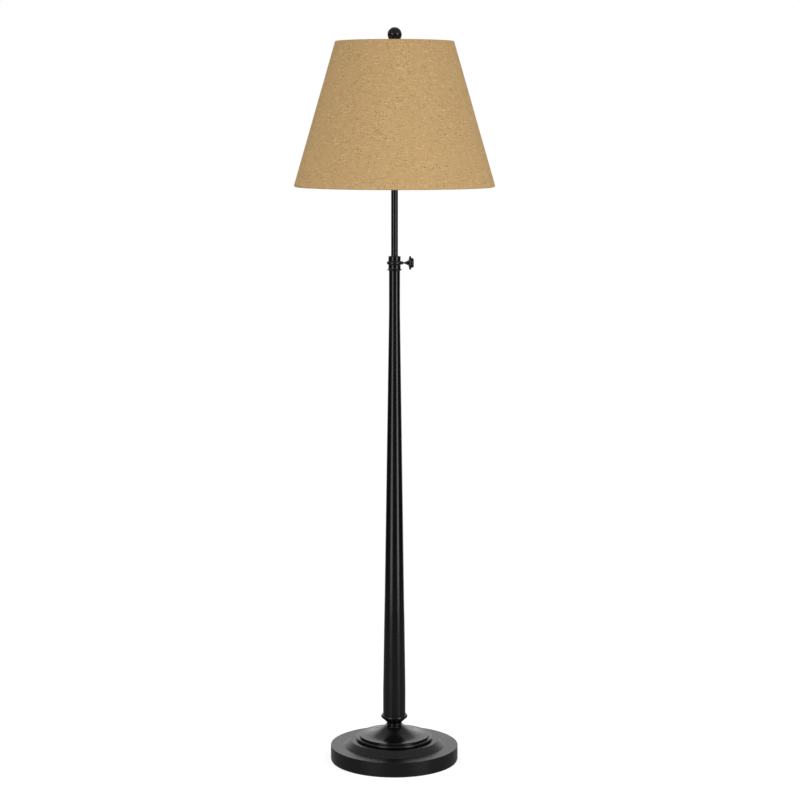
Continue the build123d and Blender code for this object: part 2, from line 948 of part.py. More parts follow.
def shade_fabric():
    """Cone of fabric, rolled over both rings and notched where the arms come through."""
    outer = shade_roll
    inner = shade_roll - shade_fabric_thickness
    body = turned(
        hem(ring_high, outer, 1),
        beside(ring_high, -outer, -shade_hem),
        beside(ring_high, -inner, -shade_hem),
        hem_back(ring_high, inner, 1),
        hem(ring_low, inner, -1),
        beside(ring_low, -inner, shade_hem),
        beside(ring_low, -outer, shade_hem),
        hem_back(ring_low, outer, -1),
    )
    # The notches reach a hair past the roll's inner face, so that they cut it and don't only touch it.
    return body - frame_arms(shade_wire / 2 + roll_gap + notch_gap)


def finial_base():
    """Threaded foot of the finial, with a neck that the ball is pressed on."""
    hole = stud_diameter / 2 + thread_gap
    foot = finial_foot_diameter / 2
    neck = finial_neck_diameter / 2
    foot_top = fitter_top + finial_foot_height
    return turned(
        (hole, fitter_top),
        (foot, fitter_top),
        curve_into((foot, foot_top), (neck, foot_top + finial_neck_rise), (0, 1)),
        (neck, finial_base_top),
        (0.0, finial_base_top),
        (0.0, stud_top + free_gap),
        (hole, stud_top + free_gap),
    )


def finial_ball():
    ball = Pos(0, 0, ball_centre) * Sphere(finial_ball_diameter / 2)
    return ball - disc(finial_neck_diameter / 2 + fit_gap, fitter_top, finial_base_top)


pieces = {
    "base_pad": base_pad(),
    "base_disc": base_disc(),
    "cord_bushing": cord_bushing(),
    "base_dome": base_dome(),
    "neck_cup": neck_cup(),
    "tie_pipe": tie_pipe(),
    "base_washer": base_washer(),
    "base_nut": base_nut(),
    "column": column(),
    "column_plug": column_plug(),
    "guide_tube": guide_tube(),
    "collar": collar(),
    "collar_bush": collar_bush(),
    "clamp_pad": clamp_pad(),
    "clamp_screw": clamp_screw(),
    "clamp_knob": clamp_knob(),
    "glide": glide(),
    "rod": rod(),
    "rod_clips": rod_clips(),
    "rod_insert": rod_insert(),
    "lock_nut": lock_nut(),
    "harp_saddle": harp_saddle(),
    "harp": harp(),
    "harp_stud": harp_stud(),
    "harp_sleeve_left": harp_sleeve(-1),
    "harp_sleeve_right": harp_sleeve(1),
    "socket_cap": socket_cap(),
    "socket_shell": socket_shell(),
    "insulating_sleeve": insulating_sleeve(),
    "socket_core": socket_core(),
    "terminal_screws": terminal_screws(),
    "screw_shell": screw_shell(),
    "centre_contact": centre_contact(),
    "switch_stem": switch_stem(),
    "switch_knob": switch_knob(),
    "bulb_cap": bulb_cap(),
    "bulb_glass": bulb_glass(),
    "shade_frame": shade_frame(),
    "shade_bottom_ring": shade_bottom_ring(),
    "shade_lining": shade_lining(),
    "shade_fabric": shade_fabric(),
    "finial_base": finial_base(),
    "finial_ball": finial_ball(),
}

os.makedirs("parts", exist_ok=True)
for name, piece in pieces.items():
    export_step(piece, f"parts/{name}.step")
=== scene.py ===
# %% [markdown]
# # An adjustable floor lamp, dressed in Blender
# The lamp is a stepped round base, a tapered column, a rod that slides in it under a thumb screw,
# and a flared cloth shade on a wire harp. Its rigid pieces arrive at their true size and place, so
# this lesson gives each of them a finish, models the soft pieces and the fine ones, and then lights
# and frames the lamp.

# %% Load the frame
import bpy
import json
import math
from mathutils import Matrix, Vector


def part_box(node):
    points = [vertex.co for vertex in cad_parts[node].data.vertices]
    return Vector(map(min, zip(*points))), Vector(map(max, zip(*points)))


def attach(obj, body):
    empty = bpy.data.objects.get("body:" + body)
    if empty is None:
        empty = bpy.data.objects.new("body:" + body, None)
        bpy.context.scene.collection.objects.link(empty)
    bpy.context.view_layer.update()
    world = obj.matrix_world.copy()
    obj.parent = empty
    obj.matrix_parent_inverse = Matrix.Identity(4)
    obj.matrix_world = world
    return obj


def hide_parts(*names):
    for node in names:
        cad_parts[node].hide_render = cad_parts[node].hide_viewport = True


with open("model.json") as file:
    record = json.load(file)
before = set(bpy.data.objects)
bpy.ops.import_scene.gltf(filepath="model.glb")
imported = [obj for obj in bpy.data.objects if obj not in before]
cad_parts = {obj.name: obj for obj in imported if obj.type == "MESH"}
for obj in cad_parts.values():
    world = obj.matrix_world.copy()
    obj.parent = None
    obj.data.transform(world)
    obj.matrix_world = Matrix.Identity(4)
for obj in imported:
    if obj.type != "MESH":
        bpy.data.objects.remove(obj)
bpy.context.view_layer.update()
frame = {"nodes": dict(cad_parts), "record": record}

MM = 0.001

# %% [markdown]
# ## Shader maths that reads like maths
# A material is a graph of nodes, and long graphs are hard to read as links. The class below wraps
# one output socket. Adding, subtracting or multiplying wrapped sockets adds Math nodes, so a
# formula in the script looks like the formula on paper. Every other node comes from one method,
# which sets the node's own settings first and then fills or links its sockets. The Mix node has
# sockets of the same name for each kind of data, so those for colours are named by their number.

# %% A socket that Python can calculate with
MIX_FACTOR = 0
MIX_FROM = 6
MIX_TO = 7
MIX_COLOUR = 2


class Wire:
    """One output of a node tree. Python's operators on it add Math nodes."""

    def __init__(self, tree, socket=None):
        self.tree = tree
        self.socket = socket

    def node(self, kind, settings=None, sockets=None, out=0):
        """A new node in the same tree, as a wire from one of its outputs."""
        made = self.tree.nodes.new(kind)
        for name, value in (settings or {}).items():
            setattr(made, name, value)
        for name, value in (sockets or {}).items():
            if isinstance(value, Wire):
                self.tree.links.new(value.socket, made.inputs[name])
            else:
                made.inputs[name].default_value = value
        return Wire(self.tree, made.outputs[out])

    def math(self, operation, *others):
        """A Math node on this value and any others."""
        values = dict(enumerate((self, *others)))
        return self.node("ShaderNodeMath", {"operation": operation}, values)

    def __add__(self, other):
        return self.math("ADD", other)

    def __sub__(self, other):
        return self.math("SUBTRACT", other)

    def __rsub__(self, other):
        return self.node("ShaderNodeMath", {"operation": "SUBTRACT"}, {0: other, 1: self})

    def __mul__(self, other):
        return self.math("MULTIPLY", other)

    def __gt__(self, other):
        return self.math("GREATER_THAN", other)

    __radd__ = __add__
    __rmul__ = __mul__

    def between(self, low, high):
        """0 below low, 1 above high, and a soft step from one to the other."""
        return self.node("ShaderNodeMapRange", {"interpolation_type": "SMOOTHSTEP"},
                         {"Value": self, "From Min": low, "From Max": high})

    def tint(self, dark, light):
        """A colour that goes from dark to light as this value goes from 0 to 1."""
        return self.node("ShaderNodeMix", {"data_type": "RGBA"},
                         {MIX_FACTOR: self, MIX_FROM: dark, MIX_TO: light}, out=MIX_COLOUR)

    def axis(self, name):
        """The X, Y or Z of this vector."""
        return self.node("ShaderNodeSeparateXYZ", sockets={"Vector": self}, out=name)

    def noise(self, scale=1.0, detail=3.0, stretch=(1, 1, 1)):
        """Noise over this vector. Scale, or stretch along each axis, is in features per metre."""
        place = self.node("ShaderNodeMapping", sockets={"Vector": self, "Scale": stretch})
        return self.node("ShaderNodeTexNoise",
                         sockets={"Vector": place, "Scale": scale, "Detail": detail})


print("wires:", [name for name in vars(Wire) if not name.startswith("_")])


# %% What every finish starts and ends with
def new_finish(name, **constants):
    """A material, its shader node, and a wire of the piece's own coordinates in metres."""
    material = bpy.data.materials.new(name)
    material.use_nodes = True
    shader = material.node_tree.nodes["Principled BSDF"]
    for socket, value in constants.items():
        shader.inputs[socket.replace("_", " ")].default_value = value
    place = Wire(material.node_tree).node("ShaderNodeTexCoord", out="Object")
    return material, shader, place


def feed(shader, **wires):
    """Links wires to the shader's sockets."""
    for socket, wire in wires.items():
        wire.tree.links.new(wire.socket, shader.inputs[socket.replace("_", " ")])


def relief(height, depth):
    """Bump of that depth in metres from a height of 0 to 1."""
    return height.node("ShaderNodeBump", sockets={"Height": height, "Distance": depth})


def rgb(red, green, blue):
    """An opaque colour."""
    return (red, green, blue, 1.0)


WHITE = rgb(1, 1, 1)
print("ready for finishes, white is", WHITE)

# %% [markdown]
# ## Black lacquer on the stand
# Everything that shows below the shade is metal under a satin black lacquer. Two things make it
# read as metal: sharp edges that catch the light, which the shapes already have, and a gloss that
# is not quite even. So the colour stays nearly black and the detail goes into the roughness and a
# very shallow relief. Tubes also get faint lines along their length, as drawn tube has, and the
# heavy cast base a slightly grainier skin.

# %% Black lacquer
LACQUER_DARK = rgb(0.0030, 0.0029, 0.0028)
LACQUER_LIGHT = rgb(0.0062, 0.0059, 0.0057)
LACQUER_CLOUDS = 14.0
DRAWN_LINES = (900, 900, 9)


def black_lacquer(name, grain, grain_depth, sheen):
    """Satin black with a grain in features per metre, and its roughness where it is smoothest."""
    material, shader, place = new_finish(name, Specular_IOR_Level=0.5)
    cloudy = place.noise(LACQUER_CLOUDS)
    drawn = place.noise(detail=2.0, stretch=DRAWN_LINES)
    fine = place.noise(grain, detail=2.0)
    feed(shader, Base_Color=cloudy.tint(LACQUER_DARK, LACQUER_LIGHT),
         Roughness=sheen + 0.10 * cloudy + 0.06 * drawn,
         Normal=relief(0.6 * fine + 0.4 * drawn, grain_depth))
    return material


lacquer_on_tube = black_lacquer(
    "lacquer_on_tube", grain=700.0, grain_depth=0.02 * MM, sheen=0.11)
lacquer_on_casting = black_lacquer(
    "lacquer_on_casting", grain=1100.0, grain_depth=0.05 * MM, sheen=0.20)
print("lacquers:", lacquer_on_tube.name, lacquer_on_casting.name)

# %% [markdown]
# ## Bare metals
# Inside the shade and the stand are plain and plated metals. A metal has no colour of its own under
# the gloss, so its colour goes straight into the reflection with Metallic at 1. What tells steel
# from aged brass is the tint, how it wanders from bright to dull, and how rough the dull places
# are.

# %% Bare metals
SCRATCHES = (1400, 1400, 60)
SCRATCH_DEPTH = 0.012 * MM


def bare_metal(name, dark, light, rough, patches):
    """A metal with dull patches, so many per metre, and its roughness where it is bright."""
    material, shader, place = new_finish(name, Metallic=1.0)
    dull = place.noise(patches, detail=5.0).between(0.35, 0.70)
    scratch = place.noise(stretch=SCRATCHES)
    feed(shader, Base_Color=dull.tint(light, dark),
         Roughness=rough + 0.16 * dull + 0.08 * scratch,
         Normal=relief(scratch, SCRATCH_DEPTH))
    return material


plain_steel = bare_metal(
    "plain_steel", rgb(0.42, 0.42, 0.43), rgb(0.60, 0.60, 0.61), rough=0.26, patches=60.0)
plain_brass = bare_metal(
    "plain_brass", rgb(0.50, 0.34, 0.13), rgb(0.76, 0.57, 0.27), rough=0.22, patches=70.0)
aged_brass = bare_metal(
    "aged_brass", rgb(0.13, 0.085, 0.045), rgb(0.36, 0.25, 0.125), rough=0.30, patches=45.0)
bulb_metal = bare_metal(
    "bulb_metal", rgb(0.58, 0.58, 0.58), rgb(0.80, 0.80, 0.79), rough=0.24, patches=90.0)
print("metals:", plain_steel.name, plain_brass.name, aged_brass.name, bulb_metal.name)

# %% [markdown]
# ## Moulded, painted and paper surfaces
# These finishes share one recipe: two close tones mixed by a cloudy noise, a roughness that follows
# it, and a fine relief for the moulding grain, the orange peel of a coating or the fibres of a
# paper. Only the numbers differ, so one function makes them all.

# %% Moulded, painted and paper surfaces
SKIN_CLOUDS = 55.0


def plain_skin(name, dark, light, rough, grain, depth, **constants):
    """Two close tones with a grain in features per metre, and the depth of its relief."""
    material, shader, place = new_finish(name, **constants)
    cloudy = place.noise(SKIN_CLOUDS, detail=4.0)
    fine = place.noise(grain)
    tone = (0.55 * cloudy + 0.45 * fine).between(0.30, 0.70)
    feed(shader, Base_Color=tone.tint(dark, light), Roughness=rough + 0.12 * cloudy,
         Normal=relief(fine, depth))
    return material


finish_of_slot = {
    "cast_base": lacquer_on_casting,
    "dark_metal": lacquer_on_tube,
    "bright_steel": plain_steel,
    "brass": plain_brass,
    "antique_brass": aged_brass,
    "bulb_metal": bulb_metal,
    "foam": plain_skin(
        "foam_skin", rgb(0.010, 0.010, 0.010), rgb(0.030, 0.030, 0.030),
        rough=0.82, grain=900.0, depth=0.30 * MM),
    "black_plastic": plain_skin(
        "moulded_black", rgb(0.012, 0.012, 0.012), rgb(0.020, 0.020, 0.020),
        rough=0.40, grain=1500.0, depth=0.03 * MM),
    "nylon": plain_skin(
        "natural_nylon", rgb(0.74, 0.71, 0.63), rgb(0.83, 0.81, 0.75),
        rough=0.38, grain=900.0, depth=0.02 * MM),
    "fibre": plain_skin(
        "insulating_paper", rgb(0.33, 0.23, 0.14), rgb(0.48, 0.36, 0.24),
        rough=0.72, grain=1800.0, depth=0.06 * MM),
    "bakelite": plain_skin(
        "phenolic", rgb(0.016, 0.012, 0.009), rgb(0.034, 0.026, 0.020),
        rough=0.18, grain=600.0, depth=0.01 * MM),
    "bulb_glass": plain_skin(
        "coated_glass", rgb(0.84, 0.84, 0.82), rgb(0.92, 0.92, 0.90),
        rough=0.30, grain=300.0, depth=0.004 * MM, Coat_Weight=1.0, Coat_Roughness=0.05),
    "shade_wire": plain_skin(
        "wire_coating", rgb(0.66, 0.63, 0.56), rgb(0.76, 0.74, 0.68),
        rough=0.34, grain=1300.0, depth=0.02 * MM),
    "lining": plain_skin(
        "lining_sheet", rgb(0.76, 0.71, 0.60), rgb(0.84, 0.80, 0.71),
        rough=0.46, grain=800.0, depth=0.02 * MM),
}
print("finishes by slot:", len(finish_of_slot))

# %% [markdown]
# ## Coarse cloth on the shade
# The shade is covered in a tan jute weave. The yarns are about two millimetres wide and none is
# even: some are darker, some swell into slubs, some run thin and pale, and bits of husk and straw
# show as brown and light flecks. The pattern has to follow the cloth and not the room, so it reads
# a position that is stored on the cloth itself: where each point lay when the piece was cut flat.
# In those coordinates the warp and weft are straight lines, and a yarn is one narrow stripe of a
# noise that is stretched along it.

# %% The weave of the cloth
CUT_POSITION = "cut_position"
YARN = 2.0 * MM
YARN_WANDER = 0.5 * YARN
WANDERS = 70.0


def plain_weave(cut):
    """Height of a plain weave, 0 to 1, and where the warp is the yarn on top."""
    wander = YARN_WANDER * cut.noise(WANDERS, detail=2.0)
    warp = ((cut.axis("X") + wander) * (math.pi / YARN)).math("SINE")
    weft = ((cut.axis("Y") - wander) * (math.pi / YARN)).math("SINE")
    warp_on_top = warp * weft > 0.0
    height = warp_on_top * warp.math("ABSOLUTE") + (1.0 - warp_on_top) * weft.math("ABSOLUTE")
    return height, warp_on_top


print("weave of", YARN / MM, "mm yarns")

# %% The colour of the cloth
PER_YARN = 1.04 / YARN
WEFT_TONES = (75, PER_YARN, 1)
WARP_TONES = (PER_YARN, 95, 1)
WEFT_SWELLS = (45, 0.80 / YARN, 1)
WARP_SWELLS = (0.73 / YARN, 60, 1)
FIBRES = 620.0
FLECK_CLUSTERS = 24.0
HUSKS = (290, 360, 1)
STRAWS = (340, 310, 1)
YARN_DARK = rgb(0.340, 0.206, 0.080)
YARN_LIGHT = rgb(0.842, 0.573, 0.279)
STRAW_COLOUR = rgb(0.960, 0.760, 0.470)
HUSK_COLOUR = rgb(0.120, 0.062, 0.020)
DARKEST_SPOT = 0.85
WEAVE_DEPTH = 0.30 * MM


def coarse_cloth(name):
    """Tan yarns of uneven tone, slubs, thin places, flecks, and painted shade between yarns."""
    material, shader, place = new_finish(name, Specular_IOR_Level=0.08)
    cut = place.node("ShaderNodeAttribute", {"attribute_name": CUT_POSITION}, out="Vector")
    height, warp_on_top = plain_weave(cut)
    weft_tone = cut.noise(detail=2.0, stretch=WEFT_TONES)
    warp_tone = cut.noise(detail=2.0, stretch=WARP_TONES)
    fibre = cut.noise(FIBRES, detail=2.0)
    # The tone rises with the weave's height, a painted shade that darkens the dips between the
    # yarns, and it is a touch lighter where the warp is on top.
    tone = (0.062 + 0.16 * weft_tone + 0.12 * warp_tone + 0.40 * fibre
            + 0.10 * height + 0.09 * warp_on_top)
    yarn = tone.between(0.28, 0.77).tint(YARN_DARK, YARN_LIGHT)
    weft_swell = cut.noise(detail=1.0, stretch=WEFT_SWELLS)
    warp_swell = cut.noise(detail=1.0, stretch=WARP_SWELLS)
    weft_slub = weft_swell.between(0.66, 0.72)
    warp_slub = warp_swell.between(0.69, 0.76)
    thin_yarn = 2.0 - weft_swell.between(0.28, 0.34) - warp_swell.between(0.24, 0.31)
    cluster = cut.noise(FLECK_CLUSTERS, detail=1.0).between(0.40, 0.58)
    husk = cluster * cut.noise(detail=1.0, stretch=HUSKS).between(0.64, 0.70)
    straw = cluster * cut.noise(detail=1.0, stretch=STRAWS).between(0.65, 0.71)
    pale = (0.35 * thin_yarn + 0.60 * straw).tint(yarn, STRAW_COLOUR)
    spots = 0.30 * weft_slub + 0.34 * warp_slub + 0.80 * husk
    feed(shader, Base_Color=spots.math("MINIMUM", DARKEST_SPOT).tint(pale, HUSK_COLOUR),
         Roughness=0.80 + 0.12 * warp_tone,
         Normal=relief(0.8 * height + 0.5 * weft_slub + 0.4 * warp_slub, WEAVE_DEPTH))
    return material


finish_of_slot["burlap"] = coarse_cloth("coarse_cloth")
print("cloth:", finish_of_slot["burlap"].name)

# %% [markdown]
# ## A finish on every rigid piece
# Each rigid piece says in its record which slot, that is which material, it takes its finish from.
# The finishes could be assigned piece by piece, but a loop over the record forgets none, and a slot
# without a finish stops the script.

# %% Give every rigid piece its finish
for part in frame["record"]["subparts"]:
    rigid = frame["nodes"][part["node"]]
    rigid.data.materials.clear()
    rigid.data.materials.append(finish_of_slot[part["material_slot"]])

# %% [markdown]
# ## Tools of the hand
# The pieces below are modelled as one would by hand: a primitive, edit mode, a selection, an
# operator. An operator works on all that is selected, so a new piece starts from a clear selection,
# and what the next operator needs is picked by where it lies.


# %% Tools for modes and selections
def begin():
    """Object mode with nothing selected, and an edit mode that picks points."""
    if bpy.context.mode != "OBJECT":
        bpy.ops.object.mode_set(mode="OBJECT")
    bpy.ops.object.select_all(action="DESELECT")
    bpy.context.tool_settings.mesh_select_mode = (True, False, False)


def to_edit():
    bpy.ops.object.mode_set(mode="EDIT")


def to_object():
    bpy.ops.object.mode_set(mode="OBJECT")


def pick(piece, kind, test):
    """Selects the vertices or faces of a piece that pass a test, and leaves it in edit mode."""
    to_edit()
    bpy.ops.mesh.select_mode(type=kind)
    bpy.ops.mesh.select_all(action="DESELECT")
    to_object()
    chosen = piece.data.vertices if kind == "VERT" else piece.data.polygons
    for part in chosen:
        part.select = test(part)
    to_edit()


print("starts in", bpy.context.mode, "mode")


# %% Tools for shaping and handing over
def widen(ratio, **settings):
    """Scales what is selected sideways and keeps its height."""
    bpy.ops.transform.resize(value=(ratio, ratio, 1), **settings)


def face_outwards():
    """Selects all in edit mode and turns the faces to one side, outwards on a closed mesh."""
    bpy.ops.mesh.select_all(action="SELECT")
    bpy.ops.mesh.normals_make_consistent(inside=False)


def flip_if(wrong):
    """Turns the selected faces of an open mesh round, if they look the wrong way."""
    if wrong:
        to_edit()
        bpy.ops.mesh.flip_normals()
        to_object()


def add_modifier(piece, kind, **settings):
    """Adds a modifier, sets it and applies it."""
    modifier = piece.modifiers.new(kind.lower(), kind)
    for name, value in settings.items():
        setattr(modifier, name, value)
    bpy.ops.object.modifier_apply(modifier=modifier.name)


def smooth(degrees):
    """Shades the piece smooth, apart from edges that are sharper than an angle."""
    bpy.ops.object.shade_smooth_by_angle(angle=math.radians(degrees))


def hand_over(piece, name, node, body, slot):
    """Names a finished piece, gives it its slot's finish and puts it in a rigid node's place."""
    to_object()
    piece.name = name
    piece.data.name = name
    piece.data.materials.clear()
    piece.data.materials.append(finish_of_slot[slot])
    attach(piece, body)
    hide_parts(node)
    print(name, "faces:", len(piece.data.polygons))


# %% [markdown]
# ## The cloth of the shade
# A shade like this is one piece of cloth, cut flat as a curved strip, glued to a lining, bent into
# a cone and rolled over two wire rings. It could be a plain cone, but then its rims would be knife
# edges. Here the outline of its section is drawn as a chain of points, from the lip inside the top
# ring, over that ring, down the wall and round the bottom ring, and the chain is spun once round
# the lamp. The last few degrees lie over the first ones, which is the glued seam. It is turned to
# the back, where such a seam is put.

# %% The section of the shade
LIP = 5.0 * MM
ROLL_STEPS = 12
WALL_STEPS = 28
bottom_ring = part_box("shade_bottom_ring")
top_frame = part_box("shade_frame")
cloth_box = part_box("shade_fabric")
wire_radius = (bottom_ring[1].z - bottom_ring[0].z) / 2
low_ring = Vector((bottom_ring[1].x - wire_radius, bottom_ring[0].z + wire_radius))
high_ring = Vector((top_frame[1].x - wire_radius, top_frame[1].z - wire_radius))
roll = cloth_box[1].x - low_ring.x
wall_up = (high_ring - low_ring).normalized()
wall_out = Vector((wall_up.y, -wall_up.x))


def roll_round(ring, start):
    """Points of a half turn about a ring, from an angle to the wall's outward way."""
    points = []
    for step in range(ROLL_STEPS + 1):
        angle = start - math.pi * step / ROLL_STEPS
        points.append(ring + roll * (math.cos(angle) * wall_out + math.sin(angle) * wall_up))
    return points


over_top = roll_round(high_ring, math.pi)
under_bottom = roll_round(low_ring, 0.0)
wall_top, wall_foot = over_top[-1], under_bottom[0]
wall = [wall_top.lerp(wall_foot, step / WALL_STEPS) for step in range(1, WALL_STEPS)]
section = [over_top[0] - LIP * wall_up, *over_top, *wall, *under_bottom,
           under_bottom[-1] + LIP * wall_up]
print("section points:", len(section), "roll:", round(roll / MM, 2), "mm")

# %% Spin the section into cloth
SEAM_AZIMUTH = math.radians(62)
SEAM_OVERLAP = math.radians(3.2)
SPIN_STEPS = 240
SEAM_STEPS = 4
seam_way = Vector((math.cos(SEAM_AZIMUTH), math.sin(SEAM_AZIMUTH), 0.0))


def in_room(point):
    """A point of the section, set up in the plane of the seam."""
    return seam_way * point.x + Vector((0, 0, point.y))


begin()
bpy.ops.mesh.primitive_plane_add(size=roll, location=(0, 0, 0))
cloth = bpy.context.object
to_edit()
bpy.ops.mesh.merge(type="CENTER")
bpy.ops.transform.translate(value=in_room(section[0]))
for here, there in zip(section, section[1:]):
    step_on = in_room(there) - in_room(here)
    bpy.ops.mesh.extrude_region_move(TRANSFORM_OT_translate={"value": step_on})
bpy.ops.mesh.select_all(action="SELECT")
bpy.ops.mesh.spin(steps=SPIN_STEPS, angle=2 * math.pi, center=(0, 0, 0), axis=(0, 0, 1))
bpy.ops.mesh.spin(steps=SEAM_STEPS, angle=SEAM_OVERLAP, center=(0, 0, 0), axis=(0, 0, 1))
to_object()
print("cloth points:", len(cloth.data.vertices))

# %% Remember where each point lay in the flat cut
# Seen from above the spin goes clockwise from the seam, and has turned this far at the front.
FRONT_TURN = SEAM_AZIMUTH + math.pi / 2
cone_sine = wall_out.y
run = [0.0]
for here, there in zip(section, section[1:]):
    run.append(run[-1] + (there - here).length)
wall_start = 1 + ROLL_STEPS
from_apex = [section[wall_start].x / cone_sine + length - run[wall_start] for length in run]


def turn_of(column):
    """How far the spin has turned when it makes a column of points."""
    turned = min(column, SPIN_STEPS) * 2 * math.pi / SPIN_STEPS
    return turned + max(column - SPIN_STEPS, 0) * SEAM_OVERLAP / SEAM_STEPS


flat_place = []
for index in range(len(cloth.data.vertices)):
    column, row = divmod(index, len(section))
    swing = (turn_of(column) - FRONT_TURN) * cone_sine
    flat_place.append((from_apex[row] * math.sin(swing), -from_apex[row] * math.cos(swing), 0.0))
stored = cloth.data.attributes.new(CUT_POSITION, "FLOAT_VECTOR", "POINT")
stored.data.foreach_set("vector", [number for point in flat_place for number in point])
print("points with a flat place:", len(stored.data))

# %% Measure the flat cut
half_sweep = turn_of(SPIN_STEPS + SEAM_STEPS) * cone_sine / 2
flat_width = 2 * from_apex[-1] * math.sin(half_sweep)
flat_length = from_apex[-1] - from_apex[0] * math.cos(half_sweep)
flat_area = half_sweep * (from_apex[-1] ** 2 - from_apex[0] ** 2)
print("flat cut:", round(flat_width, 3), "x", round(flat_length, 3), "m, area",
      round(flat_area, 4), "m2")

# %% [markdown]
# The seam's upper layer has to lie on the lower one, so its columns are pushed out along their
# normals by the thickness of the cloth. Where the frame's three arms reach the top ring, the lip is
# snipped away. A faint swell keeps the wall from looking turned on a lathe, and it goes outwards
# only, because the lining is behind the cloth. The thickness comes last, inwards, so that the
# outline stays where it was drawn.

# %% Seam and snips
CLOTH = 0.9 * MM
SEAM_GAP = 0.15 * MM
ARMS = 3
FIRST_ARM = 90
SNIP = 3.2 * MM
SNIP_TOP = 0.75 * roll
SNIP_DROP = 2 * LIP
arm_turns = [math.radians(FIRST_ARM + 360 / ARMS * arm) for arm in range(ARMS)]
arm_ways = [Vector((math.cos(turn), math.sin(turn))) for turn in arm_turns]
to_edit()
face_outwards()
to_object()
wall_middle = cloth.data.vertices[(SPIN_STEPS // 2) * len(section) + len(section) // 2]
flip_if(wall_middle.normal.dot(Vector((wall_middle.co.x, wall_middle.co.y, 0))) < 0)
pick(cloth, "VERT", lambda point: point.index >= SPIN_STEPS * len(section))
bpy.ops.transform.shrink_fatten(value=CLOTH + SEAM_GAP)


def under_arm(face):
    """Whether a face of the inner lip is in the way of an arm of the frame."""
    across = Vector((face.center.x, face.center.y))
    from_ring = Vector((across.length, face.center.z)) - high_ring
    if from_ring.dot(wall_out) > 0 or from_ring.dot(wall_up) > SNIP_TOP:
        return False
    if face.center.z < high_ring.y - SNIP_DROP:
        return False
    return any(across.dot(way) > 0 and abs(across.cross(way)) < SNIP for way in arm_ways)


pick(cloth, "FACE", under_arm)
bpy.ops.mesh.delete(type="FACE")
to_object()
print("cloth faces after", ARMS, "snips:", len(cloth.data.polygons))

# %% Swell and thickness
SWELL = 0.35 * MM
SWELL_SIZE = 0.09
ripple = bpy.data.textures.new("cloth_swell", "CLOUDS")
ripple.noise_scale = SWELL_SIZE
add_modifier(cloth, "DISPLACE", texture=ripple, texture_coords="LOCAL", strength=SWELL,
             mid_level=0.0)
add_modifier(cloth, "SOLIDIFY", thickness=CLOTH, offset=-1.0)
smooth(degrees=50)
hand_over(cloth, "shade_cloth", "shade_fabric", "shade", "burlap")

# %% [markdown]
# ## A foam ring under the base
# The base stands on a ring of black foam that keeps it from marking the floor. It is a flat ring of
# about two millimetres with soft edges, so it starts as a circle that is extruded and scaled
# outwards, and modifiers give it its thickness and its rounded edges.

# %% Foam ring
PAD_SIDES = 192
PAD_WIDTH = 15.1 * MM
PAD_EDGE = 0.7 * MM
PAD_EDGE_STEPS = 4
pad_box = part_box("base_pad")
pad_outer = pad_box[1].x
pad_inner = pad_outer - PAD_WIDTH
begin()
bpy.ops.mesh.primitive_circle_add(vertices=PAD_SIDES, radius=pad_inner, location=(0, 0, 0),
                                  enter_editmode=True)
foam = bpy.context.object
bpy.ops.transform.translate(value=(0, 0, pad_box[1].z))
bpy.ops.mesh.extrude_edges_move()
widen(pad_outer / pad_inner)
face_outwards()
to_object()
flip_if(foam.data.polygons[0].normal.z < 0)
add_modifier(foam, "SOLIDIFY", thickness=pad_box[1].z - pad_box[0].z, offset=-1.0)
add_modifier(foam, "BEVEL", width=PAD_EDGE, segments=PAD_EDGE_STEPS, limit_method="ANGLE")
smooth(degrees=40)
hand_over(foam, "foam_ring", "base_pad", "stand", "foam")

# %% [markdown]
# ## Thread on the clamp screw
# The thumb screw has a four millimetre shank, and a little of its thread shows between the collar
# and the knob. A row of rings would look like a thread from afar, but a thread climbs. So one tooth
# is drawn as a short zigzag, the Screw modifier winds it up the length of the shank, and two cuts
# end it square. It is made upright and then laid along the screw's axis. With no window the rotate
# operator turns the other way, which the helper below takes into account.

# %% Wind the thread
THREAD_PITCH = 0.7 * MM
THREAD_DEPTH = 0.43 * MM
THREAD_STEPS = 32
SPARE_TURNS = 2
screw_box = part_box("clamp_screw")
screw_middle = (screw_box[0] + screw_box[1]) / 2
screw_radius = (screw_box[1].z - screw_box[0].z) / 2
screw_length = screw_box[1].x - screw_box[0].x
begin()
bpy.ops.mesh.primitive_plane_add(size=screw_radius, location=(0, 0, 0))
screw = bpy.context.object
to_edit()
bpy.ops.mesh.merge(type="CENTER")
bpy.ops.transform.translate(value=(screw_radius - THREAD_DEPTH, 0, 0))
for way in (1, -1):
    flank = (way * THREAD_DEPTH, 0, THREAD_PITCH / 2)
    bpy.ops.mesh.extrude_region_move(TRANSFORM_OT_translate={"value": flank})
to_object()
add_modifier(screw, "SCREW", angle=2 * math.pi, screw_offset=THREAD_PITCH, steps=THREAD_STEPS,
             render_steps=THREAD_STEPS,
             iterations=math.ceil(screw_length / THREAD_PITCH) + SPARE_TURNS)
print("thread points:", len(screw.data.vertices))

# %% Cut the thread to length and lay it in place
WELD = 0.001 * MM
CUT_SLACK = 0.0001 * MM


def turn_about(axis, angle):
    """Turns what is selected about an axis through the origin."""
    bpy.ops.transform.rotate(value=-angle, orient_axis=axis, center_override=(0, 0, 0))


to_edit()
bpy.ops.mesh.select_all(action="SELECT")
bpy.ops.mesh.remove_doubles(threshold=WELD)
for level, way in ((THREAD_PITCH, -1), (THREAD_PITCH + screw_length, 1)):
    bpy.ops.mesh.select_all(action="SELECT")
    bpy.ops.mesh.bisect(plane_co=(0, 0, level), plane_no=(0, 0, way), use_fill=True,
                        clear_outer=True, threshold=CUT_SLACK)
face_outwards()
turn_about("Y", math.pi / 2)
bpy.ops.transform.translate(
    value=(screw_box[0].x - THREAD_PITCH, screw_middle.y, screw_middle.z))
to_object()
smooth(degrees=30)
hand_over(screw, "clamp_thread", "clamp_screw", "thumb_screw", "dark_metal")

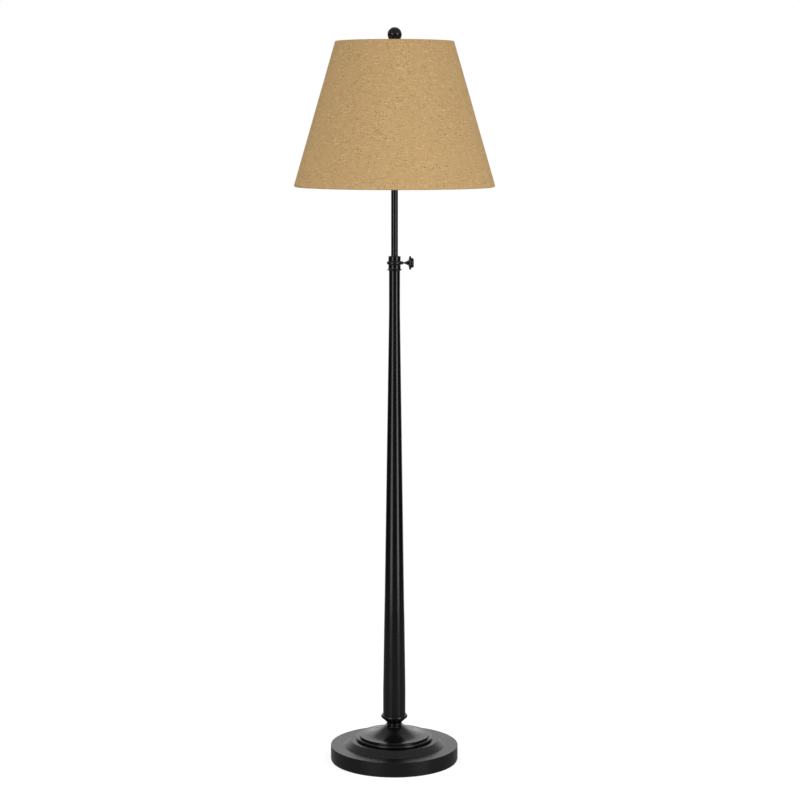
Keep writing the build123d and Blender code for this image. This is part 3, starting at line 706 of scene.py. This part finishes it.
# %% [markdown]
# ## A fluted switch knob
# The switch under the bulb is turned by a small moulded knob, and such knobs are fluted so that
# fingers can grip them. Its outline is a row of rings: the bore that takes the stem, a plain
# flange, the tapered grip, a rounded tip and a shallow dimple. Each ring is extruded from the one
# before it and scaled to its own radius. Then every third line of points along the grip is drawn
# inwards, which makes the flutes.

# %% The rings of the knob
BORE_RADIUS = 2.05 * MM
BORE_DEPTH = 8.8 * MM
FLANGE = 1.6 * MM
FLANGE_EDGE = 0.3 * MM
GRIP_INSET = 0.35 * MM
GRIP_FOOT = 0.5 * MM
GRIP_TAPER = 0.82
TIP_EDGE = 1.0 * MM
TIP_STEPS = 4
DIMPLE_RIM = 0.55
DIMPLE_FLOOR = 0.45
DIMPLE_DEPTH = 0.3 * MM
knob_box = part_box("switch_knob")
knob_middle = (knob_box[0] + knob_box[1]) / 2
knob_length = knob_box[1].y - knob_box[0].y
knob_root = (knob_box[1].x - knob_box[0].x) / 2
knob_tip = GRIP_TAPER * knob_root
tip_start = knob_length - TIP_EDGE
grip_root = knob_root - GRIP_INSET
rings = [
    (BORE_RADIUS, BORE_DEPTH), (BORE_RADIUS, 0.0),
    (knob_root - FLANGE_EDGE, 0.0), (knob_root, FLANGE_EDGE), (knob_root, FLANGE),
    (grip_root, FLANGE + FLANGE_EDGE), (grip_root, FLANGE + GRIP_FOOT), (knob_tip, tip_start),
]
for step in range(1, TIP_STEPS + 1):
    angle = step * math.pi / (2 * TIP_STEPS)
    rings.append((knob_tip - TIP_EDGE * (1 - math.cos(angle)),
                  tip_start + TIP_EDGE * math.sin(angle)))
rings.append((DIMPLE_RIM * knob_tip, knob_length))
rings.append((DIMPLE_FLOOR * knob_tip, knob_length - DIMPLE_DEPTH))
print("knob rings:", len(rings), "length:", round(knob_length / MM, 2), "mm")

# %% Extrude the knob from ring to ring
KNOB_SIDES = 72
begin()
bpy.ops.mesh.primitive_circle_add(vertices=KNOB_SIDES, radius=BORE_RADIUS, fill_type="NGON",
                                  location=(0, 0, 0), enter_editmode=True)
knob = bpy.context.object
bpy.ops.transform.translate(value=(0, 0, BORE_DEPTH))
for (narrow, low), (wide, high) in zip(rings, rings[1:]):
    bpy.ops.mesh.extrude_edges_move(TRANSFORM_OT_translate={"value": (0, 0, high - low)})
    widen(wide / narrow)
bpy.ops.mesh.edge_face_add()
to_object()
print("knob points:", len(knob.data.vertices))

# %% Flutes, and the knob in its place
FLUTE_RATIO = 0.91
LINES_PER_FLUTE = 3
NEAR = 0.05 * MM


def in_flute(point):
    """Whether a point of the grip is on a line that is drawn inwards."""
    line = round(math.atan2(point.co.y, point.co.x) / (2 * math.pi / KNOB_SIDES))
    on_grip = FLANGE + GRIP_FOOT - NEAR < point.co.z < tip_start + NEAR
    in_bore = math.hypot(point.co.x, point.co.y) < BORE_RADIUS + NEAR
    return line % LINES_PER_FLUTE == 0 and on_grip and not in_bore


pick(knob, "VERT", in_flute)
widen(FLUTE_RATIO, center_override=(0, 0, 0))
face_outwards()
turn_about("X", math.pi / 2)
bpy.ops.transform.translate(value=(knob_middle.x, knob_box[1].y, knob_middle.z))
to_object()
smooth(degrees=28)
hand_over(knob, "switch_grip", "switch_knob", "switch", "bakelite")

# %% [markdown]
# ## A white room
# The floor and the backdrop are white to the camera and to what the lacquer reflects, by Light
# Path, so that no extra light has to fall on the lamp to make them so. The floor is partly a plain
# matt surface, which lets the lamp's shadow show.

# %% White backdrop
ROOM_LIGHT = 0.57


def background_rays(start):
    """1 for rays that show the background: seen directly, in a gloss or through glass."""
    direct, gloss, through = [
        start.node("ShaderNodeLightPath", out=name)
        for name in ("Is Camera Ray", "Is Glossy Ray", "Is Transmission Ray")]
    return direct.math("MAXIMUM", gloss.math("MAXIMUM", through))


world = bpy.data.worlds.new("white_room")
bpy.context.scene.world = world
world.use_nodes = True
seen = background_rays(Wire(world.node_tree))
sky = world.node_tree.nodes["Background"]
sky.inputs["Color"].default_value = WHITE
feed(sky, Strength=ROOM_LIGHT + (1.0 - ROOM_LIGHT) * seen)
print("room light:", ROOM_LIGHT)

# %% White floor
FLOOR_RADIUS = 7.0
FLOOR_SIDES = 96
FLOOR_GLOW = 0.72
FLOOR_TONE = 0.50
begin()
bpy.ops.mesh.primitive_circle_add(vertices=FLOOR_SIDES, radius=FLOOR_RADIUS, fill_type="NGON",
                                  location=(0, 0, 0))
floor = bpy.context.object
floor.name = "floor"
floor_white = bpy.data.materials.new("floor_white")
floor_white.use_nodes = True
tree = floor_white.node_tree
matt = Wire(tree).node("ShaderNodeBsdfDiffuse",
                       sockets={"Color": rgb(FLOOR_TONE, FLOOR_TONE, FLOOR_TONE)})
glow = matt.node("ShaderNodeEmission",
                 sockets={"Color": WHITE, "Strength": FLOOR_GLOW * background_rays(matt)})
both = matt.node("ShaderNodeAddShader", sockets={0: matt, 1: glow})
tree.links.new(both.socket, tree.nodes["Material Output"].inputs["Surface"])
floor.data.materials.append(floor_white)
print("floor radius:", FLOOR_RADIUS, "m")

# %% [markdown]
# ## A dark tent for the lacquer
# Black lacquer shows what stands round it. In a room that is white on every side it would look
# grey, so a photographer hangs dark cloth in front and to the sides, and leaves only the backdrop
# white. The tent below does that. Its floor glows a little near the lamp, as a floor in half shade
# would, and goes dark further out. Its roof and the top of its walls glow too, as a ceiling does.
# Only glossy rays see the tent, so it takes no light from the lamp and throws no shadow.

# %% The shape of the tent
TENT_SIDES = 72
TENT_RADIUS = 5.0
TENT_HEIGHT = 3.2
TENT_FOOT = 0.1335
TENT_LIFT = 0.002
NEAR_FLOOR = 1.4
BACK_AZIMUTH = math.pi / 2
BACK_OPENING = math.radians(40)
begin()
bpy.ops.mesh.primitive_circle_add(vertices=TENT_SIDES, radius=TENT_FOOT, location=(0, 0, 0),
                                  enter_editmode=True)
tent = bpy.context.object
tent.name = "dark_tent"
bpy.ops.transform.translate(value=(0, 0, TENT_LIFT))
for narrow, wide in ((TENT_FOOT, NEAR_FLOOR), (NEAR_FLOOR, TENT_RADIUS)):
    bpy.ops.mesh.extrude_edges_move()
    widen(wide / narrow)
bpy.ops.mesh.extrude_edges_move(TRANSFORM_OT_translate={"value": (0, 0, TENT_HEIGHT)})
bpy.ops.mesh.extrude_edges_move()
bpy.ops.mesh.merge(type="CENTER")


def behind(face):
    """Whether a face of the tent's wall or far floor lies in front of the backdrop."""
    azimuth = math.atan2(face.center.y, face.center.x)
    far = face.center.length > NEAR_FLOOR and face.center.z < TENT_HEIGHT
    return far and abs(azimuth - BACK_AZIMUTH) < BACK_OPENING


pick(tent, "FACE", behind)
bpy.ops.mesh.delete(type="FACE")
to_object()
print("tent faces:", len(tent.data.polygons))

# %% What the tent shows
GLOW_FULL = 0.5 * NEAR_FLOOR
GLOW_END = 1.6 * NEAR_FLOOR
NEAR_GLOW = 0.16
HIGH_START = 1.6
HIGH_FULL = 2.4
HIGH_GLOW = 0.36
dark_cloth, cloth_shader, place = new_finish(
    "dark_cloth", Base_Color=rgb(0.01, 0.01, 0.01), Emission_Strength=1.0)
reach = place.node("ShaderNodeVectorMath", {"operation": "LENGTH"}, {0: place}, out="Value")
near_lamp = 1.0 - reach.between(GLOW_FULL, GLOW_END)
high_up = place.axis("Z").between(HIGH_START, HIGH_FULL)
feed(cloth_shader, Emission_Color=NEAR_GLOW * near_lamp + HIGH_GLOW * high_up)
tent.data.materials.append(dark_cloth)
tent.visible_camera = False
tent.visible_diffuse = False
tent.visible_transmission = False
tent.visible_shadow = False
print("tent shows", dark_cloth.name, "to glossy rays:", tent.visible_glossy)

# %% [markdown]
# ## Two tall soft boxes
# The stripes on the column tell of the light: two tall soft boxes in front of the lamp, one to each
# side, in the soft light of the room. A soft box is an area light of the same size. Its strength is
# given as the brightness of its face, because that is what the stripes show, and the power follows
# from its size.

# %% Two tall soft boxes
SOFT_BOX_DISTANCE = 1.5
SOFT_BOX_HEIGHT = 2.0
SOFT_BOX_MIDDLE = 1.03


def soft_box(name, azimuth, width, radiance):
    """A tall light panel, at an angle from the camera's side of the lamp, turned to the lamp."""
    panel = bpy.data.lights.new(name, "AREA")
    panel.shape = "RECTANGLE"
    panel.size = width
    panel.size_y = SOFT_BOX_HEIGHT
    panel.energy = radiance * math.pi * width * SOFT_BOX_HEIGHT
    lamp = bpy.data.objects.new(name, panel)
    turn = math.radians(azimuth)
    lamp.location = (SOFT_BOX_DISTANCE * math.sin(turn), -SOFT_BOX_DISTANCE * math.cos(turn),
                     SOFT_BOX_MIDDLE)
    lamp.rotation_euler = (math.pi / 2, 0, turn)
    bpy.context.collection.objects.link(lamp)
    return lamp


left_box = soft_box("soft_box_left", azimuth=-37, width=0.66, radiance=2.35)
right_box = soft_box("soft_box_right", azimuth=48, width=0.56, radiance=3.4)
print("soft boxes:", left_box.name, right_box.name)

# %% [markdown]
# ## The camera
# The photograph looks slightly down at the lamp, from about four metres in front of it and at the
# height of the shade. The camera stands there, with a lens that fills the frame in the same way.
# It is tilted down and rolled by a hair, since a camera on its stand is seldom quite level.

# %% Camera at the photograph's view
CAMERA_PLACE = (0.0114, -4.3, 1.33)
CAMERA_PITCH = 7.565
CAMERA_ROLL = 0.05
CAMERA_LENS = 95.11
CAMERA_SENSOR = 36.0
camera_data = bpy.data.cameras.new("camera")
camera_data.sensor_width = CAMERA_SENSOR
camera_data.lens = CAMERA_LENS
camera = bpy.data.objects.new("camera", camera_data)
camera.location = CAMERA_PLACE
tilt = Matrix.Rotation(math.radians(90 - CAMERA_PITCH), 3, "X")
camera.rotation_euler = (tilt @ Matrix.Rotation(math.radians(CAMERA_ROLL), 3, "Z")).to_euler()
bpy.context.collection.objects.link(camera)
bpy.context.scene.camera = camera
bpy.context.scene.view_settings.view_transform = "Standard"
print("camera at", CAMERA_PLACE)

# %% [markdown]
# ## The end
# The dressed lamp must keep the size of the rigid one, apart from a little that cloth may stand
# proud.
